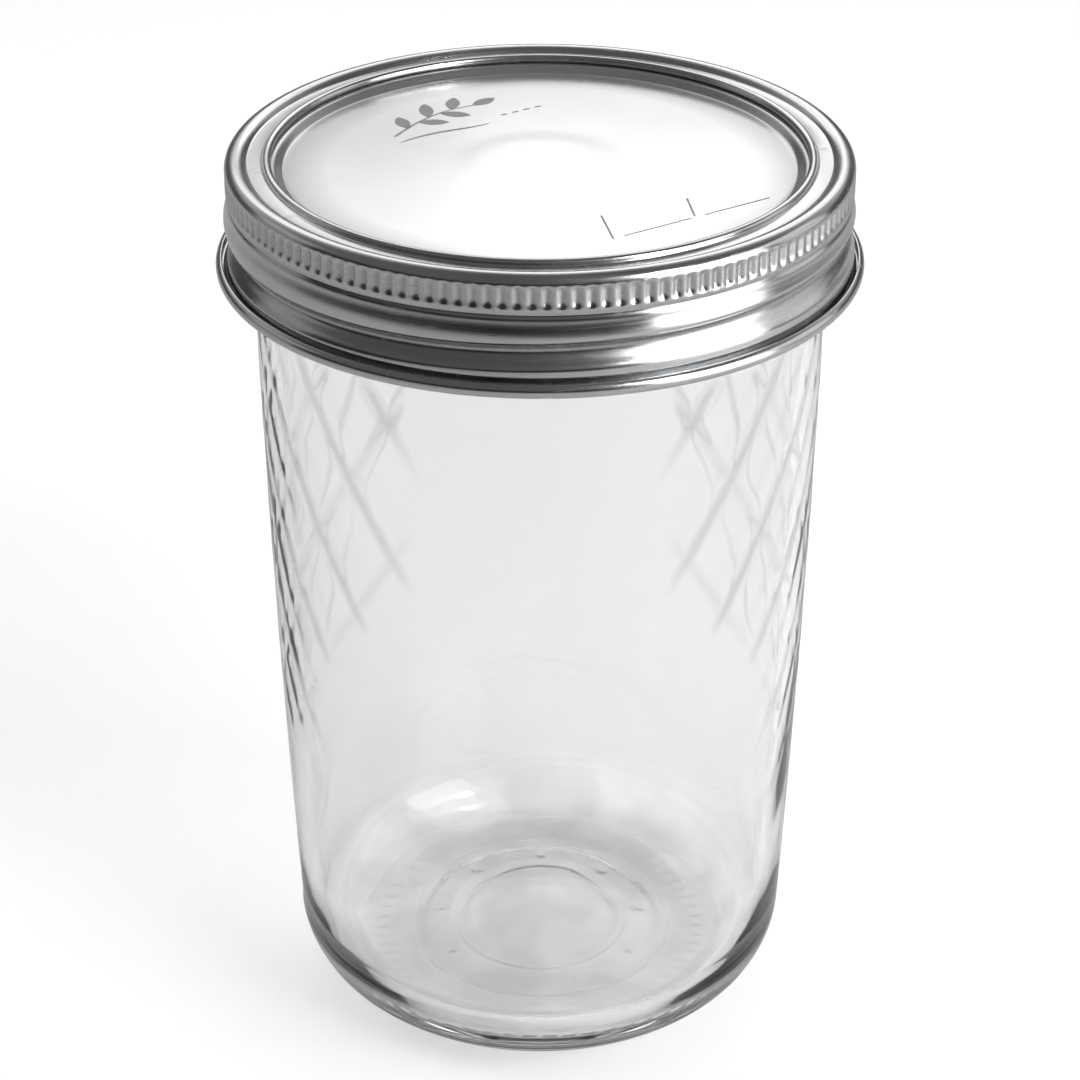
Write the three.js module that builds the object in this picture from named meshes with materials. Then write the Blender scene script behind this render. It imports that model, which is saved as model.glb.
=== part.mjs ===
// Wide-mouth canning jar of one pint, closed by a flat lid disc and a threaded screw band.
// Millimetres, +Z up. The origin is the centre of the face the jar stands on, and -Y is the front.
//
// The jar comes apart into the pieces it is made of:
//   glass_jar     one blown piece of glass with an external thread under its rim
//   lid_disc      a pressed tinplate disc that lies on the rim
//   sealing_ring  the soft compound bonded in the channel under the disc's edge
//   screw_band    a rolled tinplate ring that turns on the thread and holds the disc down
import * as THREE from "three";

// Glass jar
const jarHeight = 129.6; // standing face to rim
const neckRadius = 40.8; // outside of the glass between its threads
const bodyInset = 1; // neck to the top of the straight body
const bodyTaper = 2.9; // by which the body narrows to its base
const bodyBow = 0.5; // how far the side swells between its ends
const heelRadius = 11; // rounding between side and base
const bearingWidth = 1.8; // flat ring that the jar stands on
const pushUp = 2.6; // rise of the base over the standing face, at its centre
const wall = 3;
const baseThickness = 5;

// Rim and neck
const rimWidth = 2.9; // bore to neck
const rimRounding = 1.1;
const beadDrop = 12.6; // rim to the middle of the transfer bead
const beadHalfHeight = 1.3;
const beadProud = 0.5;
const shoulderRise = 1.1; // top of the body to the bead's lower edge

// Thread, right-handed, one start
const threadPitch = 6.35; // four turns to the inch
const threadDepth = 1.6; // on the glass, over the neck
const threadHalfWidth = 1.5;
const threadStartDrop = 3.6; // rim to the middle of the glass thread's top end
const threadEndRise = 1.6; // bead's top edge to the middle of the glass thread's low end
const runOutAngle = THREE.MathUtils.degToRad(24); // over which each end of a thread fades

// Lid disc and its sealing ring
const discSheet = 0.3;
const panelDrop = 1; // centre panel under the disc's raised channel
const panelStep = 1.5; // radial width of the slope between them
const discEdgeBend = 0.4;
const discEdgeDrop = 0.75; // how far the disc's edge turns down
const sealThickness = 0.8;
const sealChamfer = 0.15; // under the ring
const sealShoulder = 0.45; // over the ring, where the disc's edge bends

// Screw band
const bandSheet = 0.3;
const bandHeight = 16.4;
const openingInset = 1.1; // from the bore of the glass to the hole in the band's top
const hemRadius = 0.6; // rolled edge around that hole, outside
const hemTurn = 250; // degrees through which that edge is rolled
const cornerRadius = 1.6; // top outer corner, outside
const flangeDip = 0.35; // shallow channel between hem and corner
const curlRadius = 1.05; // rolled lower edge, outside
const curlTurn = 260; // degrees through which that edge is rolled
const gripHeight = 5.2; // band's top to the ring under the grip zone
const gripRingDepth = 0.2;
const gripRingHalfWidth = 0.8;
const grooveHalfWidth = 1.8; // the band's thread, pressed in from outside
const grooveFrontDrop = 10.3; // band's top to the middle of its thread at the front

// Clearances
const restGap = 0.05; // between faces that lie on each other
const mouthClearance = 1.3; // disc's slope to the bore
const sealOverhang = 0.8; // sealing ring past the bore, inward
const threadClearance = 0.5; // glass thread's crest to the band's wall
const threadEngagement = 0.7; // radial overlap of the two threads
const threadPlay = 0.6; // axial gap between their flanks
const discClearance = 0.4; // disc's edge to the crest of the band's thread

// How finely each shape is cut up
const roundSteps = 48;
const threadRows = 14;
const arcSteps = 4;

const fullTurn = 2 * Math.PI;
const quarterTurn = Math.PI / 2;
const point = (radius, z) => new THREE.Vector2(radius, z);

// Places on the glass that follow from the sizes above
const mouthRadius = neckRadius - rimWidth;
const bodyTopRadius = neckRadius - bodyInset;
const bodyBaseRadius = bodyTopRadius - bodyTaper;
const baseEdge = bodyBaseRadius - heelRadius - bearingWidth; // of the pushed-up base
const beadZ = jarHeight - beadDrop;
const bodyTopZ = beadZ - beadHalfHeight - shoulderRise;

// Places on the closure, which stands on the rim and clears the thread
const threadCrest = neckRadius + threadDepth;
const skirtInside = threadCrest + threadClearance;
const skirtMiddle = skirtInside + bandSheet / 2; // middle of the sheet
const bandThreadCrest = threadCrest - threadEngagement;
const grooveDepth = skirtInside - bandThreadCrest;
const discRadius = bandThreadCrest - discClearance;
const sealBottom = jarHeight + restGap;
const sealTop = sealBottom + sealThickness;
const discUnderside = sealTop + restGap;
const bandTop = discUnderside + discSheet + restGap + 2 * hemRadius;
const bandBottom = bandTop - bandHeight;

// The two threads, each from its low end to its high end
const bandThread = threadBetween(
  bandTop - grooveFrontDrop,
  bandBottom + 2 * curlRadius + grooveHalfWidth,
  bandTop - gripHeight - grooveHalfWidth,
  grooveHalfWidth,
);
const glassThread = threadBetween(
  bandThread.frontZ + flankDistance(),
  beadZ + beadHalfHeight + threadEndRise,
  jarHeight - threadStartDrop,
  threadHalfWidth,
);

// A helix known by its height at the front. Angles run from the front towards +X.
function threadBetween(frontZ, lowZ, highZ, halfWidth) {
  const angleAt = (z) => ((z - frontZ) / threadPitch) * fullTurn;
  return { frontZ, halfWidth, from: angleAt(lowZ), to: angleAt(highZ) };
}

// Half of a thread's width where it has this share of its full height
function halfWidthAt(share, halfWidth) {
  return (halfWidth / quarterTurn) * Math.acos(Math.sqrt(share));
}

// How far the glass thread lies over the band's, so that their flanks keep their play.
// The flanks come nearest halfway through the overlap.
function flankDistance() {
  const halfOverlap = threadEngagement / 2;
  const onGlass = halfWidthAt(1 - halfOverlap / threadDepth, threadHalfWidth);
  const onBand = halfWidthAt(1 - halfOverlap / grooveDepth, grooveHalfWidth);
  return onGlass + onBand + threadPlay;
}

// A rounded ridge: 1 along its middle, 0 from its half width on
function ridge(off, halfWidth) {
  return Math.cos(Math.min(Math.abs(off) / halfWidth, 1) * quarterTurn) ** 2;
}

// A thread's height at a place, as a share of its full height
function threadShare(thread, angle, z) {
  const shares = [-1, 0, 1].map((turn) => {
    const along = angle + turn * fullTurn;
    const off = z - thread.frontZ - (threadPitch * along) / fullTurn;
    const fromEnd = Math.min(along - thread.from, thread.to - along);
    return THREE.MathUtils.smoothstep(fromEnd, 0, runOutAngle) * ridge(off, thread.halfWidth);
  });
  return Math.max(...shares);
}

// Points of an arc in the radius-height plane, angles in degrees
function arc(centre, radius, from, to, steps = arcSteps) {
  const [start, end] = [from, to].map(THREE.MathUtils.degToRad);
  const clockwise = to < from;
  const curve = new THREE.EllipseCurve(centre.x, centre.y, radius, radius, start, end, clockwise);
  return curve.getPoints(steps);
}

// Points spread evenly in height between two heights, with their radius from a function
function rows(lowZ, highZ, steps, radiusAt) {
  return Array.from({ length: steps + 1 }, (_, i) => {
    const z = lowZ + ((highZ - lowZ) * i) / steps;
    return point(radiusAt(z), z);
  });
}

// The outline of a sheet of even thickness, from the line along its middle
function sheetOutline(middle, thickness) {
  const side = (offset) =>
    middle.map((at, i) => {
      const before = middle[Math.max(i - 1, 0)];
      const after = middle[Math.min(i + 1, middle.length - 1)];
      const along = after.clone().sub(before).normalize();
      return point(at.x - along.y * offset, at.y + along.x * offset);
    });
  return [...side(-thickness / 2), ...side(thickness / 2).reverse()];
}

function closed(outline) {
  return [...outline, outline[0].clone()];
}

// A solid turned around +Z, each vertex then moved outward by a function of its angle, radius and height
function turned(outline, outwardAt = () => 0) {
  const geometry = new THREE.LatheGeometry(outline, roundSteps).rotateX(quarterTurn);
  const position = geometry.getAttribute("position");
  for (let i = 0; i < position.count; i++) {
    const [x, y, z] = [position.getX(i), position.getY(i), position.getZ(i)];
    const radius = Math.hypot(x, y);
    if (radius === 0) continue;
    const scale = 1 + outwardAt(Math.atan2(x, -y), radius, z) / radius;
    position.setXY(i, x * scale, y * scale);
  }
  geometry.computeVertexNormals();
  return geometry;
}

function piece(name, geometry, material) {
  const mesh = new THREE.Mesh(geometry, new THREE.MeshStandardMaterial(material));
  mesh.name = name;
  return mesh;
}

// Outside of the straight body: a taper that swells a little between its ends
function bodyRadius(z) {
  const share = (z - heelRadius) / (bodyTopZ - heelRadius);
  const taper = THREE.MathUtils.lerp(bodyBaseRadius, bodyTopRadius, share);
  return taper + 4 * bodyBow * share * (1 - share);
}

// Points of the pushed-up base from its centre to its edge, over this height
function dome(overZ) {
  return Array.from({ length: arcSteps + 1 }, (_, i) => {
    const share = i / arcSteps;
    return point(baseEdge * share, overZ + pushUp * Math.cos(share * quarterTurn));
  });
}

function jarOutline() {
  const heel = point(bodyBaseRadius - heelRadius, heelRadius);
  const innerHeelRadius = heelRadius - wall;
  const innerHeel = point(heel.x, baseThickness + innerHeelRadius);
  const rimZ = jarHeight - rimRounding;
  const bodyInside = (z) => bodyRadius(z) - wall;
  return [
    ...dome(0),
    ...arc(heel, heelRadius, -90, 0, arcSteps + 2),
    ...rows(heelRadius, bodyTopZ, arcSteps, bodyRadius).slice(1),
    point(neckRadius, beadZ - beadHalfHeight),
    point(neckRadius + beadProud, beadZ),
    ...rows(beadZ + beadHalfHeight, rimZ - rimRounding, threadRows, () => neckRadius),
    ...arc(point(neckRadius - rimRounding, rimZ), rimRounding, 0, 90),
    ...arc(point(mouthRadius + rimRounding, rimZ), rimRounding, 90, 180),
    ...rows(innerHeel.y, bodyTopZ, arcSteps, bodyInside).reverse(),
    ...arc(innerHeel, innerHeelRadius, 0, -90).slice(1),
    ...dome(baseThickness).reverse(),
  ];
}

function glassJar() {
  const neckMiddle = (mouthRadius + neckRadius) / 2;
  const geometry = turned(jarOutline(), (angle, radius, z) => {
    const onNeck = radius > neckMiddle && z > beadZ;
    return onNeck ? threadDepth * threadShare(glassThread, angle, z) : 0;
  });
  return piece("glass_jar", geometry, {
    color: 0xe6ecea,
    roughness: 0.05,
    metalness: 0,
    transparent: true,
    opacity: 0.35,
  });
}

// Pressed disc: flat centre panel, slope up to the channel over the rim, edge turned down
function lidDisc() {
  const channelInner = mouthRadius - mouthClearance;
  const half = discSheet / 2;
  const channelZ = discUnderside + half;
  const panelZ = channelZ - panelDrop;
  const edge = discRadius - half;
  const bend = point(edge - discEdgeBend, channelZ - discEdgeBend);
  const line = [
    point(channelInner - panelStep, panelZ),
    point(channelInner, channelZ),
    ...arc(bend, discEdgeBend, 90, 0),
    point(edge, channelZ - discEdgeDrop),
  ];
  const outline = [point(0, panelZ - half), ...sheetOutline(line, discSheet), point(0, panelZ + half)];
  return piece("lid_disc", turned(outline), { color: 0xe4e4e2, roughness: 0.3, metalness: 0.9 });
}

// Soft compound that fills the channel over the rim
function sealingRing() {
  const inner = mouthRadius - sealOverhang;
  const outer = discRadius - discSheet - restGap;
  const outline = [
    point(inner + sealChamfer, sealBottom),
    point(outer - sealChamfer, sealBottom),
    point(outer, sealBottom + sealChamfer),
    point(outer, sealTop - sealShoulder),
    point(outer - sealShoulder, sealTop),
    point(inner + sealShoulder, sealTop),
    point(inner, sealBottom + sealChamfer),
  ];
  return piece("sealing_ring", turned(closed(outline)), {
    color: 0xb9b4ab,
    roughness: 0.6,
    metalness: 0,
  });
}

// Line along the middle of the band's sheet, from inside the hem to the end of the lower curl
function bandLine() {
  const half = bandSheet / 2;
  const hem = point(mouthRadius - openingInset + hemRadius, bandTop - hemRadius);
  const corner = point(skirtMiddle + half - cornerRadius, bandTop - cornerRadius);
  const curl = point(skirtMiddle - half + curlRadius, bandBottom + curlRadius);
  const skirtTopZ = corner.y - gripRingHalfWidth;
  const skirt = rows(curl.y + curlRadius, skirtTopZ, threadRows, () => skirtMiddle);
  return [
    ...arc(hem, hemRadius - half, 90 + hemTurn, 90, arcSteps + 2),
    point((hem.x + corner.x) / 2, bandTop - half - flangeDip),
    ...arc(corner, cornerRadius - half, 90, 0),
    ...skirt.reverse(),
    ...arc(curl, curlRadius - half, 180, 180 + curlTurn, arcSteps + 3),
  ];
}

function screwBand() {
  const gripRingZ = bandTop - gripHeight;
  const skirtOutside = skirtInside + bandSheet;
  const geometry = turned(closed(sheetOutline(bandLine(), bandSheet)), (angle, radius, z) => {
    const onSkirtHeight = z > bandBottom + 2 * curlRadius && z < bandTop - cornerRadius;
    if (!onSkirtHeight || radius < bandThreadCrest || radius > skirtOutside + bandSheet) return 0;
    const gripRing = gripRingDepth * ridge(z - gripRingZ, gripRingHalfWidth);
    return -gripRing - grooveDepth * threadShare(bandThread, angle, z);
  });
  return piece("screw_band", geometry, { color: 0xa9abad, roughness: 0.25, metalness: 1 });
}

const jar = new THREE.Group();
jar.add(glassJar(), sealingRing(), lidDisc(), screwBand());

export default jar;
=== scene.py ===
"""The looks of a wide-mouth canning jar: clear glass, a lacquered lid disc, its sealing ring and a knurled
screw band. Heights and radii are in millimetres from the centre of the standing face and become metres where
a mesh is made. A drop is a distance below the band's top. -Y is the front, and angles run from the front
towards +X."""
import math

import bpy
import numpy as np
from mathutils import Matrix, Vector, noise


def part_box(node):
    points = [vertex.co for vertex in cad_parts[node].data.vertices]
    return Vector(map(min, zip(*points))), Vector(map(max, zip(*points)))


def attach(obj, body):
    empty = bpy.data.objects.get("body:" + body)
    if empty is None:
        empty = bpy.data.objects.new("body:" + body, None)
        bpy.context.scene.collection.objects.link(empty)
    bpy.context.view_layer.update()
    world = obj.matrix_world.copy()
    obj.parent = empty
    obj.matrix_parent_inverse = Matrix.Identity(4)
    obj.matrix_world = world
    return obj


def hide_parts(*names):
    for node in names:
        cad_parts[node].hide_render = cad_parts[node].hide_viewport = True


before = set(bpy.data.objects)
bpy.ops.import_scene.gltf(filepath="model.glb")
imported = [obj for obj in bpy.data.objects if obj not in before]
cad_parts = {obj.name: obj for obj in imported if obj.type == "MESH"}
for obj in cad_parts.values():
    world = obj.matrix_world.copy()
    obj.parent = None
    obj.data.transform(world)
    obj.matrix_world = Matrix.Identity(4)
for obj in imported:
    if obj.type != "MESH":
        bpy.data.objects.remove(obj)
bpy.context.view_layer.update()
MM = 0.001
TURN = 2 * math.pi

# The camera stands where it sees the jar as the picture does
CAMERA_BACK, CAMERA_OVER_TOP, CAMERA_DOWN, CAMERA_LENS = 390.0, 154.84, math.radians(28.99), 101.37

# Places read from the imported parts
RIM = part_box("glass_jar")[1].z / MM
BAND_BOTTOM, BAND_TOP = (corner.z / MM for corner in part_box("screw_band"))
CURL_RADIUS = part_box("screw_band")[1].x / MM
SEAL_BOTTOM, SEAL_TOP = (corner.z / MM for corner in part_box("sealing_ring"))
SEAL_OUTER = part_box("sealing_ring")[1].x / MM
DISC_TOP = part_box("lid_disc")[1].z / MM
DISC_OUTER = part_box("lid_disc")[1].x / MM

# Glass
NECK, BODY_TOP, BODY_BASE, BOW = 40.8, 39.8, 36.9, 0.5
HEEL, WALL, FLOOR, PUSH_UP, STAND = 11.0, 3.0, 5.0, 2.6, 1.8
MOUTH, RIM_ROUND = 37.9, 1.1
BEAD_Z, BEAD_HALF, BEAD_PROUD, SHOULDER_RISE = RIM - 12.6, 1.3, 0.5, 1.1
SHOULDER_Z = BEAD_Z - BEAD_HALF - SHOULDER_RISE
GLASS_COLUMNS, LATTICE_COLUMNS, LATTICE_ROWS = 240, 480, 100
WAVE_HEIGHT, WAVES_PER_MM = 0.25, 0.045
SEAM_HEIGHT, SEAM_HALF_ANGLE = 0.1, 0.012

# The two threads. "over" and "under" are the halves of the width, "front" is the height at the front, and
# "low" and "high" are the heights where the thread ends
PITCH, RUN_OUT = 6.35, math.radians(24)
GLASS_THREAD = {
    "depth": 1.6, "over": 1.5, "under": 1.5,
    "front": BAND_TOP - 8.58, "low": BEAD_Z + 2.9, "high": RIM - 3.6,
}
BAND_THREAD = {
    "depth": 1.2, "over": 1.7, "under": 2.6,
    "front": BAND_TOP - 10.45, "low": BAND_BOTTOM + 3.9, "high": BAND_TOP - 7.0,
}

# Relief on the flanks: a lattice of fine ribs, beside panels that are plain and widen downwards
RIBS_ROUND, RIB_FALL, RIB_HEIGHT, RIB_WIDTH = 18, 20.7, 0.06, 1.0
RIB_SHIFT, RIB_FAINT, LATTICE_RADIUS = 0.3, 0.45, 39.0
RELIEF_TOP, RELIEF_TOP_FADE = BAND_TOP - 18.5, 3
RELIEF_BOTTOM, RELIEF_BOTTOM_FADE = BAND_TOP - 98.0, 20
PANEL_HALF, PANEL_GAIN, PANEL_EDGE = math.radians(20), math.radians(30), math.radians(13)
PANEL_WIDENS = (45, 75)

# Relief under the base: rings as (radius, half width, height), dots, and ticks near the standing ring
BASE_RINGS = ((12, 1.2, 0.22), (18.5, 1.6, 0.3))
DOTS, DOT_RADIUS, DOT_HALF, DOT_SHARE, DOT_HEIGHT = 9, 15.2, 1.3, 0.13, 0.25
TICKS, TICK_RADIUS, TICK_HALF, TICK_DEPTH = 60, 25.0, 2.6, 0.25

# Screw band
SHEET, SKIRT = 0.3, 43.05
HEM, HEM_ROUND, CORNER, CURL = 37.4, 0.45, 1.6, 1.05
DIP, INNER_FILLET, OUTER_FILLET = 0.85, (38.31, 0.48), (40.0, 0.476)
KNURLS, KNURL_DEPTH, KNURLS_FROM, KNURLS_TO = 144, 0.4, 1.3, 4.9
KNURL_COLUMNS, BAND_COLUMNS, ROLL_COLUMNS = 864, 432, 216
SWELL_DROP, SWELL_HALF, SWELL_PROUD = 8.5, 2.5, 0.42
LOW_SWELL_FROM, LOW_SWELL_FULL, LOW_SWELL_TO, LOW_SWELL_PROUD = 11.6, 12.9, 14.5, 0.36
WALL_GROOVES = ((5.3, 0.8, 0.3), (14.5, 0.5, 0.15))  # as (drop, half width, depth)
LAP_FROM, LAP_FULL, LAP_TO = math.radians(196), math.radians(196.6), math.radians(201)
LAP_HEIGHT = 0.1

# Lid disc and sealing ring
PANEL_DROP, STEP_FROM, STEP_TO = 1, 35.2, 36.6
BUTTON_HEIGHT, BUTTON_RADIUS, BUTTON_SLOPE = 0.04, 13.0, 5.0
LID_COLUMNS = 192
PRINT_TURN, INK_SUNK, INK_PROUD = math.radians(33), 0.03, 0.02

# Leaves of the printed sprig, as (share of the stem, angle, length)
LEAVES = (
    (0.2, 1.35, 4.6), (0.36, -0.55, 4.4), (0.5, 1.15, 5.4),
    (0.64, -0.75, 4.6), (0.78, 0.95, 4.8), (1.0, 0.2, 4.4),
)


def smooth(value, low, high):
    share = np.clip((value - low) / (high - low), 0, 1)
    return share * share * (3 - 2 * share)


def ridge(off, half):
    """1 in the middle, 0 from half on, rounded between."""
    return np.cos(np.clip(np.abs(off) / half, 0, 1) * math.pi / 2) ** 2


def waves(count, angle):
    """Between 0 and 1, so many times round."""
    return 0.5 - 0.5 * np.cos(count * angle)


def arc(centre, radius, start, end, steps):
    """Points of an arc in the radius-height plane, angles in degrees."""
    angles = np.radians(np.linspace(start, end, steps + 1))
    return [(centre[0] + radius * math.cos(a), centre[1] + radius * math.sin(a)) for a in angles]


def levels(low, high, steps, radius_at):
    return [(float(radius_at(z)), float(z)) for z in np.linspace(low, high, steps + 1)]


def turned_by(points, angle):
    """Flat points turned anticlockwise about the origin."""
    c, s = math.cos(angle), math.sin(angle)
    return points @ np.array(((c, s), (-s, c)))


def thread(spec, angle, z):
    """How far a thread stands out at a place."""
    best = np.zeros(np.broadcast(angle, z).shape)
    start, stop = ((spec[end] - spec["front"]) / PITCH * TURN for end in ("low", "high"))
    for turn in (-2, -1, 0, 1):
        along = angle + turn * TURN
        fade = smooth(np.minimum(along - start, stop - along), 0, RUN_OUT)
        off = z - spec["front"] - PITCH * along / TURN
        best = np.maximum(best, fade * ridge(off, np.where(off > 0, spec["over"], spec["under"])))
    return spec["depth"] * best


def meshed(name, points, faces, smooth_shading=True):
    mesh = bpy.data.meshes.new(name)
    mesh.from_pydata((np.array(points) * MM).tolist(), [], faces)
    mesh.polygons.foreach_set("use_smooth", [smooth_shading] * len(mesh.polygons))
    mesh.update()
    piece = bpy.data.objects.new(name, mesh)
    bpy.context.scene.collection.objects.link(piece)
    return piece


def between(a, n, b, m):
    """The faces between a row of n points from a on and the next row of m points from b on. The counts are
    equal, or one is 1 or twice the other."""
    faces = []
    if n == 1 or m == 1:
        for k in range(max(n, m)):
            after = (k + 1) % max(n, m)
            faces.append((a, b + after, b + k) if n == 1 else (a + k, a + after, b))
    elif n == m:
        faces += [(a + k, a + (k + 1) % n, b + (k + 1) % n, b + k) for k in range(n)]
    elif n > m:
        for k in range(m):
            after, mid, last = (k + 1) % m, 2 * k + 1, (2 * k + 2) % n
            faces += [(a + 2 * k, a + mid, b + k), (a + mid, b + after, b + k)]
            faces.append((a + mid, a + last, b + after))
    else:
        for k in range(n):
            after, mid, last = (k + 1) % n, 2 * k + 1, (2 * k + 2) % m
            faces += [(a + k, a + after, b + mid), (a + k, b + mid, b + 2 * k)]
            faces.append((a + after, b + last, b + mid))
    return faces


def turned(name, profile, columns, shift, loop=False):
    """A solid of revolution. profile runs anticlockwise in the radius-height plane, columns says how many
    columns each of its rows has, and shift moves a row's points outward and up. The attribute "relief" keeps
    how far outward, or the third value that shift gives."""
    points, relief, firsts, counts = [], [], [], []
    for (radius, z), count in zip(profile, columns):
        count = 1 if radius == 0 else count
        angle = np.arange(count) * TURN / count
        outward, up, *mark = shift(angle, radius, z) if radius else (0, 0)
        relief += ((mark[0] if mark else outward) + 0 * angle).tolist()
        r, h = radius + outward + 0 * angle, z + up + 0 * angle
        firsts.append(len(points))
        counts.append(count)
        points += np.stack((r * np.sin(angle), -r * np.cos(angle), h), 1).tolist()
    rows = range(len(counts))
    faces = []
    for low, high in list(zip(rows, rows[1:])) + ([(rows[-1], 0)] if loop else []):
        faces += between(firsts[low], counts[low], firsts[high], counts[high])
    piece = meshed(name, points, faces)
    piece.data.attributes.new("relief", "FLOAT", "POINT").data.foreach_set("value", relief)
    return piece


def still(angle, radius, z):
    return 0, 0


def sheet(middle, thickness):
    """The two sides of a sheet around its middle line, in the order that makes a closed outline."""
    line = np.array(middle)
    along = np.gradient(line, axis=0)
    along /= np.linalg.norm(along, axis=1)[:, None]
    across = np.stack((-along[:, 1], along[:, 0]), 1) * thickness / 2
    return (line - across).tolist(), (line + across)[::-1].tolist()


# ---- glass ----

def body_radius(z):
    share = (z - HEEL) / (SHOULDER_Z - HEEL)
    return BODY_BASE + (BODY_TOP - BODY_BASE) * share + 4 * BOW * share * (1 - share)


def lattice(angle, z):
    """Ribs along both diagonals, mirrored about the front: their height, and how much they show (0 to 1),
    which sets their roughness and their painted shade.
    The diagonals that run down towards the front show most."""
    share, fall = angle / TURN * RIBS_ROUND, (z - BAND_TOP) / RIB_FALL
    spacing = TURN * LATTICE_RADIUS / RIBS_ROUND
    steepness = math.sin(math.atan2(RIB_FALL, spacing))
    left = angle >= math.pi
    ribs, rib_shade = 0, 0
    for line, strong in ((share + fall - RIB_SHIFT, left), (share - fall + RIB_SHIFT, ~left)):
        off = np.abs(line - np.round(line)) * spacing * steepness
        rib = np.exp(-((off / RIB_WIDTH) ** 2))
        ribs, rib_shade = np.maximum(ribs, rib), np.maximum(rib_shade, rib * np.where(strong, 1, RIB_FAINT))
    side = np.abs((angle + math.pi) % TURN - math.pi)
    panel = PANEL_HALF + PANEL_GAIN * float(smooth(BAND_TOP - z, *PANEL_WIDENS))
    fade = smooth(side, panel, panel + PANEL_EDGE) * smooth(math.pi - side, panel, panel + PANEL_EDGE)
    fade = fade * smooth(z, RELIEF_BOTTOM, RELIEF_BOTTOM + RELIEF_BOTTOM_FADE)
    fade = fade * smooth(RELIEF_TOP - z, 0, RELIEF_TOP_FADE)
    return RIB_HEIGHT * ribs * fade, rib_shade * fade


def base_marks(angle, radius):
    """How far up the underside is moved at a place: ticks go in, rings and dots stand out."""
    rings = sum(height * ridge(radius - middle, half) for middle, half, height in BASE_RINGS)
    dots = ridge(radius - DOT_RADIUS, DOT_HALF) * ridge((angle * DOTS / TURN) % 1 - 0.5, DOT_SHARE)
    ticks = waves(TICKS, angle) * ridge(radius - TICK_RADIUS, TICK_HALF)
    return TICK_DEPTH * ticks - rings - DOT_HEIGHT * dots


def glass_shift(angle, radius, z):
    on_underside = z < 2.5 and radius < BODY_BASE - 4
    if on_underside:
        return 0, base_marks(angle, radius)
    on_body = HEEL <= z <= SHOULDER_Z and radius >= body_radius(z) - 0.01
    if on_body:
        off_seam = angle % math.pi - math.pi / 2
        ribs, rib_shade = lattice(angle, z)
        return ribs + SEAM_HEIGHT * np.exp(-((off_seam / SEAM_HALF_ANGLE) ** 2)), 0, rib_shade
    if z > BEAD_Z + BEAD_HALF and radius > (MOUTH + NECK) / 2:
        return thread(GLASS_THREAD, angle, z), 0, 0
    if FLOOR < z < SHOULDER_Z:
        places = [Vector((radius * math.sin(a), radius * math.cos(a), z)) * WAVES_PER_MM for a in angle]
        return WAVE_HEIGHT * np.array([noise.noise(at) for at in places]), 0, 0
    return 0, 0


def glass_profile():
    heel_r, edge = BODY_BASE - HEEL, BODY_BASE - HEEL - STAND
    rim_z, low_bead, high_bead = RIM - RIM_ROUND, BEAD_Z - BEAD_HALF, BEAD_Z + BEAD_HALF
    low_relief, high_relief = RELIEF_BOTTOM - 1, RELIEF_TOP + 0.5
    inner_heel, inner_top = HEEL - WALL, BODY_TOP - WALL

    def bead_radius(z):
        return NECK + BEAD_PROUD * ridge(z - BEAD_Z, BEAD_HALF)

    def bore_radius(z):
        return inner_top + (MOUTH - inner_top) * smooth(z, SHOULDER_Z, rim_z)

    def shoulder_point(share):
        return BODY_TOP + (NECK - BODY_TOP) * float(smooth(share, 0, 1)), SHOULDER_Z + SHOULDER_RISE * share

    dome = [(edge * s, PUSH_UP * math.cos(s * math.pi / 2)) for s in np.linspace(0, 1, 37)]
    inner = levels(FLOOR + inner_heel, SHOULDER_Z, 14, lambda z: body_radius(z) - WALL)
    below = [
        *dome,
        (heel_r - STAND / 2, 0),
        *arc((heel_r, HEEL), HEEL, -90, 0, 16),
        *levels(HEEL, low_relief, 8, body_radius)[1:],
    ]
    flank = levels(low_relief, high_relief, LATTICE_ROWS, body_radius)[1:]
    above_and_inside = [
        *levels(high_relief, SHOULDER_Z, 2, body_radius)[1:],
        *[shoulder_point(share) for share in (0.25, 0.5, 0.75)],
        *levels(low_bead, high_bead, 8, bead_radius),
        *levels(high_bead, rim_z - RIM_ROUND, 36, lambda z: NECK)[1:],
        *arc((NECK - RIM_ROUND, rim_z), RIM_ROUND, 0, 90, 8),
        *arc((MOUTH + RIM_ROUND, rim_z), RIM_ROUND, 90, 180, 8),
        *levels(SHOULDER_Z, rim_z, 6, bore_radius)[::-1][1:],
        *inner[::-1][1:],
        *arc((heel_r, FLOOR + inner_heel), inner_heel, 0, -90, 10)[1:],
        *[(r, z + FLOOR) for r, z in dome[::4]][::-1],
    ]
    columns = [GLASS_COLUMNS] * len(below) + [LATTICE_COLUMNS] * len(flank)
    return below + flank + above_and_inside, columns + [GLASS_COLUMNS] * len(above_and_inside)


# ---- screw band ----

def band_shift(angle, radius, z):
    drop = BAND_TOP - z
    on_wall = KNURLS_FROM < drop < BAND_TOP - BAND_BOTTOM - 2 * CURL and 40 < radius < 44.5
    if not on_wall:
        return 0, 0
    knurls = waves(KNURLS, angle) * smooth(drop - KNURLS_FROM, 0, 0.5) * smooth(KNURLS_TO - drop, 0, 1.3)
    lap = LAP_HEIGHT * smooth(angle, LAP_FROM, LAP_FULL) * smooth(LAP_TO - angle, 0, 0.01)
    return lap - KNURL_DEPTH * knurls - thread(BAND_THREAD, angle, z), 0


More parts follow.
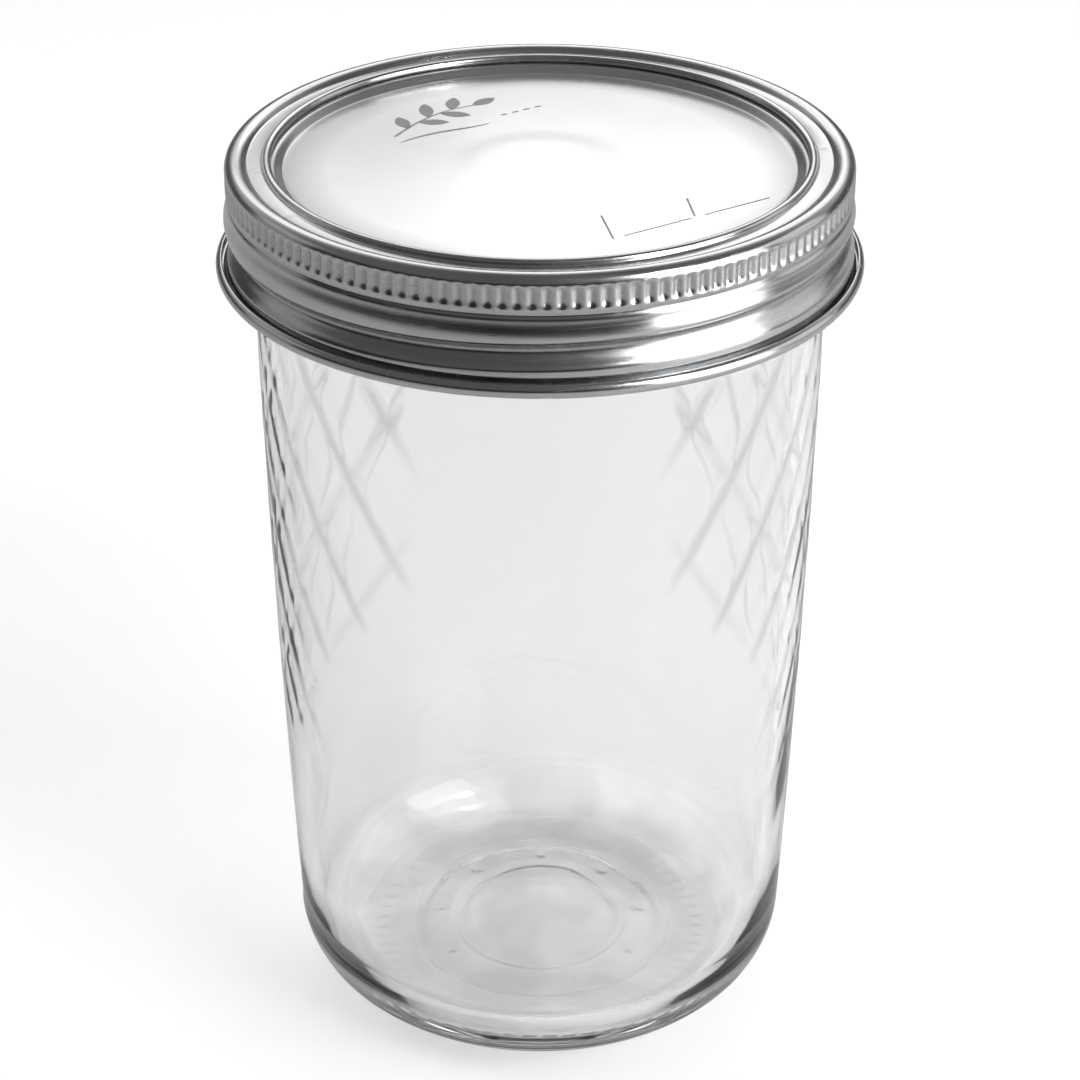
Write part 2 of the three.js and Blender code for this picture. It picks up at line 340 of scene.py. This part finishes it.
def band_line():
    """The middle of the band's sheet, from inside the hem to the end of the lower curl."""
    half = SHEET / 2
    hem, corner = (HEM, BAND_TOP - HEM_ROUND - half), (SKIRT + half - CORNER, BAND_TOP - CORNER)
    curl = (CURL_RADIUS - CURL, BAND_BOTTOM + CURL)
    dip = BAND_TOP - half - DIP
    (inner_r, inner_fillet), (outer_r, outer_fillet) = INNER_FILLET, OUTER_FILLET

    def skirt(z):
        """From the top down: a groove under the knurls, two swells, and a groove over the curl."""
        drop = BAND_TOP - z
        swell = SWELL_PROUD * ridge(drop - SWELL_DROP, SWELL_HALF)
        low_swell = smooth(drop, LOW_SWELL_FROM, LOW_SWELL_FULL) * smooth(LOW_SWELL_TO - drop, 0, 0.7)
        grooves = sum(depth * ridge(drop - middle, half) for middle, half, depth in WALL_GROOVES)
        return SKIRT + swell + LOW_SWELL_PROUD * low_swell - grooves

    return [
        *arc(hem, HEM_ROUND, 300, 12, 16),
        *arc((inner_r, dip + inner_fillet), inner_fillet, 192, 270, 6)[1:],
        (39.2, dip),
        *arc((outer_r, dip + outer_fillet), outer_fillet, 270, 326, 5),
        *arc(corner, CORNER - half, 145, 0, 16),
        *levels(BAND_TOP - CORNER, BAND_BOTTOM + 2 * CURL, 54, skirt)[1:-1],
        *arc(curl, CURL - half, 170, 440, 18),
    ]


def band_columns(profile):
    """Most columns where the knurls are, and fewest on the hem and the curl."""
    counts = []
    for radius, z in profile:
        walled = radius > 41.6 and z > BAND_BOTTOM + 2 * CURL + 0.3
        knurled = walled and KNURLS_FROM - 0.1 < BAND_TOP - z < KNURLS_TO + 0.3
        counts.append(KNURL_COLUMNS if knurled else BAND_COLUMNS if walled else ROLL_COLUMNS)
    return counts


# ---- lid disc, sealing ring and printing ----

def disc_z(radius):
    """Middle of the disc's sheet: a faint button, a flat panel, and the channel over the rim."""
    step = PANEL_DROP * (smooth(radius, STEP_FROM, STEP_TO) - 1)
    return DISC_TOP - SHEET / 2 + step + BUTTON_HEIGHT * smooth(BUTTON_RADIUS - radius, 0, BUTTON_SLOPE)


def disc_profile():
    edge, top, bend = DISC_OUTER - SHEET / 2, DISC_TOP - SHEET / 2, 0.4
    radii = [
        *np.linspace(0, 7.5, 5), *np.linspace(8, 13, 11), *np.linspace(14, 34.5, 9),
        *np.linspace(STEP_FROM, STEP_TO, 13), 38.5, 40.2,
    ]
    line = [(float(r), float(disc_z(r))) for r in radii]
    line += arc((edge - bend, top - bend), bend, 90, 0, 6)
    line += [(edge, top - 0.72), (edge, top - 0.75)]
    under, over = sheet(line, SHEET)
    under[0][0] = over[-1][0] = 0
    return under + over


def seal_profile():
    """A flat ring with rounded corners and a shallow groove under it, where the rim has pressed."""
    inner, outer, low, high = MOUTH - 0.8, SEAL_OUTER, SEAL_BOTTOM, SEAL_TOP
    middle = (inner + outer) / 2
    return [
        *arc((inner + 0.3, low + 0.3), 0.3, 180, 270, 5),
        (middle - 1.0, low + 0.02),
        (middle - 0.7, low + 0.1),
        (middle + 0.7, low + 0.1),
        (middle + 1.0, low + 0.02),
        *arc((outer - 0.2, low + 0.2), 0.2, 270, 360, 5),
        *arc((outer - 0.45, high - 0.45), 0.45, 0, 90, 5),
        *arc((inner + 0.45, high - 0.45), 0.45, 90, 180, 5),
    ]


def stroke(points, width):
    """The outline of a line of ink."""
    line = np.array(points, float)
    along = np.gradient(line, axis=0)
    along /= np.linalg.norm(along, axis=1)[:, None] + 1e-9
    across = np.stack((-along[:, 1], along[:, 0]), 1)
    width = np.broadcast_to(np.asarray(width, float), (len(line),))[:, None] / 2
    return np.concatenate((line - across * width, (line + across * width)[::-1]))


def leaf(foot, reach, angle, belly=1.05):
    share = np.linspace(0, 1, 9)
    half = belly * np.sin(share * math.pi) ** 0.8
    lower, upper = np.stack((share * reach, -half), 1), np.stack((share * reach, half), 1)
    return turned_by(np.concatenate((lower, upper[::-1][1:-1])), angle) + np.array(foot)


def print_shapes():
    """A leafy sprig over a rule and dashes, and a ruled line with two strokes for a date. There is no
    lettering. The places are in the print's own axes."""
    def stem(share):
        return -11.5 + 15.5 * share, 19.6 + 4.6 * np.sin(share * 1.9)

    bend, swash = np.linspace(0, 1, 14), np.linspace(0, 1, 10)
    rule = np.stack((-12 + 14.3 * swash, 17.2 + 0.5 * np.sin(swash * 5)), 1)
    shapes = [stroke(np.stack(stem(bend), 1), 0.42 - 0.2 * bend)]
    shapes += [leaf(stem(share), reach, angle) for share, angle, reach in LEAVES]
    shapes += [stroke(rule, 0.15 + 0.4 * np.sin(swash * math.pi))]
    shapes += [stroke(((5.4 + 1.9 * k, 18.5), (6.4 + 1.9 * k, 18.5)), 0.34) for k in range(4)]
    shapes += [stroke(((-4.3, -26.8), (6.4, -26.8)), 0.26), stroke(((8.6, -26.8), (19.2, -26.8)), 0.26)]
    shapes += [stroke(((-6.1, -26.9), (-3.1, -19.6)), 0.3), stroke(((7.2, -26.4), (9.8, -21.0)), 0.3)]
    return shapes


def lid_print():
    """Thin slabs of ink, sunk a little into the disc. Each outline is faced across, from side to side."""
    points, faces = [], []
    for shape in print_shapes():
        flat, first, n = turned_by(shape, PRINT_TURN), len(points), len(shape)
        upper = first + n
        for lift in (-INK_SUNK, INK_PROUD):
            points += [(x, y, float(disc_z(math.hypot(x, y))) + SHEET / 2 + lift) for x, y in flat]
        faces += [(first + k, first + (k + 1) % n, upper + (k + 1) % n, upper + k) for k in range(n)]
        for k in range(n // 2 - 1):
            ring = (first + k, first + k + 1, first + n - 2 - k, first + n - 1 - k)
            ring = tuple(dict.fromkeys(ring))
            faces += [tuple(v + n for v in ring), ring[::-1]] if len(ring) > 2 else []
    return meshed("lid_print", points, faces, False)


# ---- materials ----

class Nodes:
    """The node tree of a material or a world."""

    def __init__(self, owner):
        owner.use_nodes = True
        self.tree = owner.node_tree

    def put(self, value, socket):
        if isinstance(value, bpy.types.NodeSocket):
            self.tree.links.new(value, socket)
        else:
            socket.default_value = value

    def node(self, kind, inputs=(), **settings):
        made = self.tree.nodes.new("ShaderNode" + kind)
        for key, value in settings.items():
            setattr(made, key, value)
        for key, value in dict(inputs).items():
            self.put(value, made.inputs[key])
        return made

    def spread(self, value, low, high, to_low, to_high, **settings):
        inputs = {"Value": value, "From Min": low, "From Max": high, "To Min": to_low, "To Max": to_high}
        return self.node("MapRange", inputs, **settings).outputs[0]

    def calc(self, kind, a, b):
        return self.node("Math", {0: a, 1: b}, operation=kind).outputs[0]

    def blend(self, share, a, b):
        return self.node("Mix", {0: share, 6: a, 7: b}, data_type="RGBA").outputs[2]


class Paint(Nodes):
    """A procedural material. Its places are in object space, in metres."""

    def __init__(self, name):
        self.material = bpy.data.materials.new(name)
        super().__init__(self.material)
        self.shader = self.tree.nodes["Principled BSDF"]
        self.place = self.node("TexCoord").outputs["Object"]

    def noise(self, scale, detail=3.0, rough=0.5, stretch=None):
        place = self.place
        if stretch:
            place = self.node("Mapping", {"Vector": place, "Scale": stretch}).outputs[0]
        inputs = {"Vector": place, "Scale": scale, "Detail": detail, "Roughness": rough}
        return self.node("TexNoise", inputs).outputs["Fac"]

    def height(self):
        return self.node("SeparateXYZ", {0: self.place}).outputs[2]

    def radius(self):
        flat = self.node("VectorMath", {0: self.place, 1: (1, 1, 0)}, operation="MULTIPLY").outputs[0]
        return self.node("VectorMath", {0: flat}, operation="LENGTH").outputs["Value"]

    def relief(self):
        return self.node("Attribute", attribute_name="relief").outputs["Fac"]

    def set(self, **inputs):
        for key, value in inputs.items():
            self.put(value, self.shader.inputs[key.replace("_", " ")])

    def bump(self, height, distance, strength):
        made = self.node("Bump", {"Height": height, "Distance": distance, "Strength": strength})
        self.set(Normal=made.outputs[0])

    def mix_with(self, share, other):
        mixed = self.node("MixShader", {0: share, 1: self.shader.outputs[0], 2: other.outputs[0]})
        self.tree.links.new(mixed.outputs[0], self.tree.nodes["Material Output"].inputs["Surface"])


def glass_paint():
    """Clear, with faint streaks and smudges, a scuffed standing ring, ribs tinted grey as painted shade, and
    a base painted lighter with white patches of painted light.
    """
    paint = Paint("clear_glass")
    streaks = paint.noise(14, 2, stretch=(1, 1, 0.35))
    smudges = paint.spread(paint.noise(26, 4, 0.6), 0.56, 0.72, 0.0, 0.05)
    scuffs = paint.spread(paint.height(), 0.0004, 0.0016, 0.35, 0.0)
    ribs = paint.spread(paint.relief(), 0.1, 0.9, 0.0, 1.0)
    marks = paint.calc("MAXIMUM", smudges, scuffs)
    rough = paint.calc("MAXIMUM", paint.calc("MULTIPLY", ribs, 0.12), marks)
    side = paint.blend(streaks, (0.83, 0.835, 0.833, 1), (0.86, 0.865, 0.863, 1))
    # Painted light: near the bottom the glass is tinted clearer than the sides, with white patches, to
    # brighten the shaded base
    painted_light_patches = paint.spread(paint.noise(90, 2), 0.45, 0.6, 0, 1)
    base = paint.blend(painted_light_patches, (0.86, 0.865, 0.863, 1), (1.0, 1.0, 1.0, 1))
    plain = paint.blend(paint.spread(paint.height(), 0.004, 0.014, 1, 0), side, base)
    paint.set(Transmission_Weight=1.0, IOR=1.5, Roughness=rough)
    # Painted shade: the ribs are tinted grey, for the darker surroundings that they refract
    paint.set(Base_Color=paint.blend(ribs, plain, (0.54, 0.545, 0.543, 1)))
    paint.bump(paint.noise(42, 2, 0.4), 0.0007, 0.35)
    lets_light_through = paint.node("BsdfTransparent", {0: (0.97, 0.975, 0.973, 1)})
    paint.mix_with(paint.node("LightPath").outputs["Is Shadow Ray"], lets_light_through)
    return paint.material


def band_paint():
    """Bright tinplate: blotches, rolling lines, scratches round it, and a painted shade, darker and rougher,
    in what is pressed in.
    """
    paint = Paint("bright_tinplate")
    rolled = paint.noise(1, 3, 0.6, (60, 60, 2600))
    blotch = paint.noise(55, 4, 0.6)
    scratch = paint.spread(paint.noise(1, 2, 0.5, (260, 260, 2400)), 0.66, 0.74, 0, 1)
    # Painted shade: the knurl valleys and the thread groove are darkened in colour, unevenly, and made
    # rougher
    pressed = paint.spread(paint.relief(), -0.1, -0.42, 0, 0.35)
    recess_shade = paint.calc("MULTIPLY", pressed, paint.spread(blotch, 0.2, 0.6, 0.5, 1))
    blotched = paint.spread(blotch, 0.3, 0.7, 0, 1)
    bright = paint.blend(blotched, (0.54, 0.545, 0.55, 1), (0.64, 0.645, 0.65, 1))
    rough = paint.spread(paint.calc("ADD", rolled, blotch), 0.7, 1.3, 0.14, 0.28)
    worn = paint.calc("ADD", paint.calc("MULTIPLY", scratch, 0.12), paint.calc("MULTIPLY", recess_shade, 0.15))
    paint.set(Metallic=1.0, Base_Color=paint.blend(recess_shade, bright, (0.22, 0.22, 0.225, 1)))
    paint.set(Roughness=paint.calc("ADD", rough, worn))
    paint.bump(paint.calc("SUBTRACT", rolled, scratch), 0.00002, 0.35)
    return paint.material


def lid_paint():
    """Satin lacquer over tinplate, cloudy and finely brushed, with a painted shade darkening it towards the
    step.
    """
    paint = Paint("lacquered_tinplate")
    cloud = paint.noise(30, 4, 0.55)
    peel = paint.noise(900, 2, 0.5)
    brushed = paint.noise(1, 3, 0.6, (60, 2600, 60))
    lacquer = paint.blend(paint.spread(cloud, 0.3, 0.7, 0, 1), (0.67, 0.67, 0.66, 1), (0.76, 0.76, 0.75, 1))
    # Painted shade: the panel is darkened in colour towards the step, for the shade and dark reflection of
    # the band's hem
    edge = paint.spread(paint.radius(), 0.029, 0.0352, 0, 0.75)
    hem_shade = paint.calc("MULTIPLY", edge, paint.spread(cloud, 0.2, 0.5, 0.7, 1))
    paint.set(Metallic=0.85, Coat_Weight=0.4, Coat_Roughness=0.08)
    paint.set(Base_Color=paint.blend(hem_shade, lacquer, (0.30, 0.30, 0.30, 1)))
    paint.set(Roughness=paint.spread(paint.calc("ADD", cloud, brushed), 0.6, 1.4, 0.19, 0.26))
    paint.bump(paint.calc("ADD", peel, brushed), 0.000003, 0.3)
    return paint.material


def seal_paint():
    paint = Paint("sealing_compound")
    grain = paint.noise(700, 4, 0.6)
    paint.set(Base_Color=paint.blend(grain, (0.50, 0.48, 0.44, 1), (0.66, 0.64, 0.59, 1)))
    paint.set(Roughness=paint.spread(paint.noise(120, 3), 0.3, 0.7, 0.45, 0.65))
    paint.bump(grain, 0.00006, 0.5)
    return paint.material


def ink_paint():
    paint = Paint("lid_ink")
    worn = paint.noise(1400, 3, 0.6)
    paint.set(Base_Color=paint.blend(worn, (0.10, 0.10, 0.11, 1), (0.22, 0.22, 0.23, 1)))
    paint.set(Roughness=paint.spread(worn, 0.3, 0.7, 0.35, 0.55))
    paint.bump(worn, 0.00001, 0.3)
    return paint.material


# ---- pieces ----

def assign(piece, body, slot, material, *nodes):
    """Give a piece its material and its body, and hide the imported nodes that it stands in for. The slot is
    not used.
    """
    piece.data.materials.append(material)
    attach(piece, body)
    if nodes:
        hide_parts(*nodes)


profile, columns = glass_profile()
glass = turned("glass_body", profile, columns, glass_shift)
assign(glass, "jar", "clear_glass", glass_paint(), "glass_jar")

profile = [point for side in sheet(band_line(), SHEET) for point in side]
band = turned("knurled_band", profile, band_columns(profile), band_shift, loop=True)
assign(band, "band", "bright_tinplate", band_paint(), "screw_band")

profile = disc_profile()
disc = turned("lid_plate", profile, [LID_COLUMNS] * len(profile), still)
assign(disc, "lid", "lacquered_tinplate", lid_paint(), "lid_disc")
assign(lid_print(), "lid", "lacquered_tinplate", ink_paint())

profile = seal_profile()
seal = turned("seal", profile, [LID_COLUMNS] * len(profile), still, loop=True)
assign(seal, "lid", "sealing_compound", seal_paint(), "sealing_ring")


# ---- floor, lights and camera ----

BACKDROP = 0.85


def floor_paint():
    """Pale, with a painted shade in what a piece mirrors of it, and fading into the backdrop far from the
    jar.
    """
    paint = Paint("pale_floor")
    grain = paint.noise(9, 4, 0.6)
    pale = paint.blend(grain, (0.90, 0.90, 0.90, 1), (0.93, 0.93, 0.93, 1))
    ray = paint.node("LightPath").outputs
    mirrored = paint.calc("MULTIPLY", ray["Is Glossy Ray"], ray["Is Reflection Ray"])
    # Painted shade: as seen in a reflection, the floor is darker
    paint.set(Base_Color=paint.blend(mirrored, pale, (0.40, 0.40, 0.40, 1)), Specular_IOR_Level=0.2)
    paint.set(Roughness=paint.spread(grain, 0.3, 0.7, 0.75, 0.9))
    far = paint.calc("MULTIPLY", paint.spread(paint.radius(), 0.45, 1.3, 0, 1), ray["Is Camera Ray"])
    paint.mix_with(far, paint.node("Emission", {0: (BACKDROP, BACKDROP, BACKDROP, 1)}))
    return paint.material


def lay_floor(size=6000.0, steps=12, z=-0.02):
    """A grid of squares, just under the jar."""
    lines, row = np.linspace(-size / 2, size / 2, steps + 1), steps + 1
    corners = [j * row + i for j in range(steps) for i in range(steps)]
    faces = [(a, a + 1, a + row + 1, a + row) for a in corners]
    sheet_of_floor = meshed("floor", [(x, y, z) for y in lines for x in lines], faces)
    sheet_of_floor.data.materials.append(floor_paint())


def softbox(name, at, aim, width, height, radiance, in_reflections=True):
    """A rectangular light, in metres. One that is left out of reflections lights little but the floor."""
    lamp = bpy.data.lights.new(name, "AREA")
    lamp.shape, lamp.size, lamp.size_y = "RECTANGLE", width, height
    lamp.energy = radiance * math.pi * width * height
    holder = bpy.data.objects.new(name, lamp)
    holder.location = at
    holder.rotation_euler = (Vector(aim) - Vector(at)).to_track_quat("-Z", "Y").to_euler()
    holder.visible_camera = False
    holder.visible_glossy = holder.visible_transmission = in_reflections
    bpy.context.scene.collection.objects.link(holder)


def room():
    """Dark in front, above and low down, pale higher up at the back, and pale all round for the camera."""
    world = bpy.data.worlds.new("studio")
    nodes = Nodes(world)
    toward = nodes.node("SeparateXYZ", {0: nodes.node("TexCoord").outputs["Generated"]}).outputs
    back = nodes.spread(toward[1], 0.2, 0.95, 0.12, 0.7, interpolation_type="SMOOTHSTEP")
    raised = nodes.spread(toward[2], 0.24, 0.37, 0.15, 1.0, interpolation_type="SMOOTHSTEP")
    glow = nodes.calc("MULTIPLY", back, raised)
    tone = nodes.spread(nodes.node("LightPath").outputs["Is Camera Ray"], 0, 1, glow, BACKDROP)
    nodes.put(tone, nodes.tree.nodes["Background"].inputs[0])
    bpy.context.scene.world = world
    bpy.context.scene.view_settings.view_transform = "Standard"


def camera():
    eye = bpy.data.objects.new("camera", bpy.data.cameras.new("camera"))
    eye.location = (0, -CAMERA_BACK * MM, (BAND_TOP + CAMERA_OVER_TOP) * MM)
    eye.rotation_euler = (math.pi / 2 - CAMERA_DOWN, 0, 0)
    eye.data.lens, eye.data.sensor_width = CAMERA_LENS, 36.0
    eye.data.clip_start, eye.data.clip_end = 0.01, 20.0
    bpy.context.scene.collection.objects.link(eye)
    bpy.context.scene.camera = eye


# What the lights aim at, in metres
LID, BAND, HIGH_ON_BODY, LOW_ON_BODY = ((0.0, 0.0, z) for z in (0.13, 0.12, 0.10, 0.06))
UNDER_TOP_LIGHT, BEHIND_JAR = (0.0, 0.25, 0.0), (0.0, 0.12, 0.0)

lay_floor()
softbox("floor_light", (0.0, 0.25, 1.3), UNDER_TOP_LIGHT, 1.2, 1.2, 2.0, False)
softbox("floor_left_light", (-0.9, 0.25, 0.75), BEHIND_JAR, 0.6, 0.5, 3.2, False)
softbox("floor_right_light", (0.9, 0.25, 0.75), BEHIND_JAR, 0.6, 0.5, 2.0, False)
softbox("back_card", (0.0, 0.72, 0.66), LID, 0.9, 0.44, 0.95)
softbox("back_right_card", (0.08, 0.62, 0.43), LID, 0.22, 0.12, 0.75)
softbox("right_card", (0.42, -0.26, 0.26), HIGH_ON_BODY, 0.38, 0.46, 3.8)
softbox("low_right_card", (0.30, -0.15, 0.10), BAND, 0.18, 0.18, 0.9)
softbox("right_side_card", (0.50, 0.10, 0.26), HIGH_ON_BODY, 0.26, 0.36, 0.8)
softbox("left_side_card", (-0.50, 0.10, 0.26), HIGH_ON_BODY, 0.26, 0.36, 0.3)
softbox("glint_lamp", (0.34, -0.30, 0.50), LOW_ON_BODY, 0.10, 0.14, 20.0)
room()
camera()
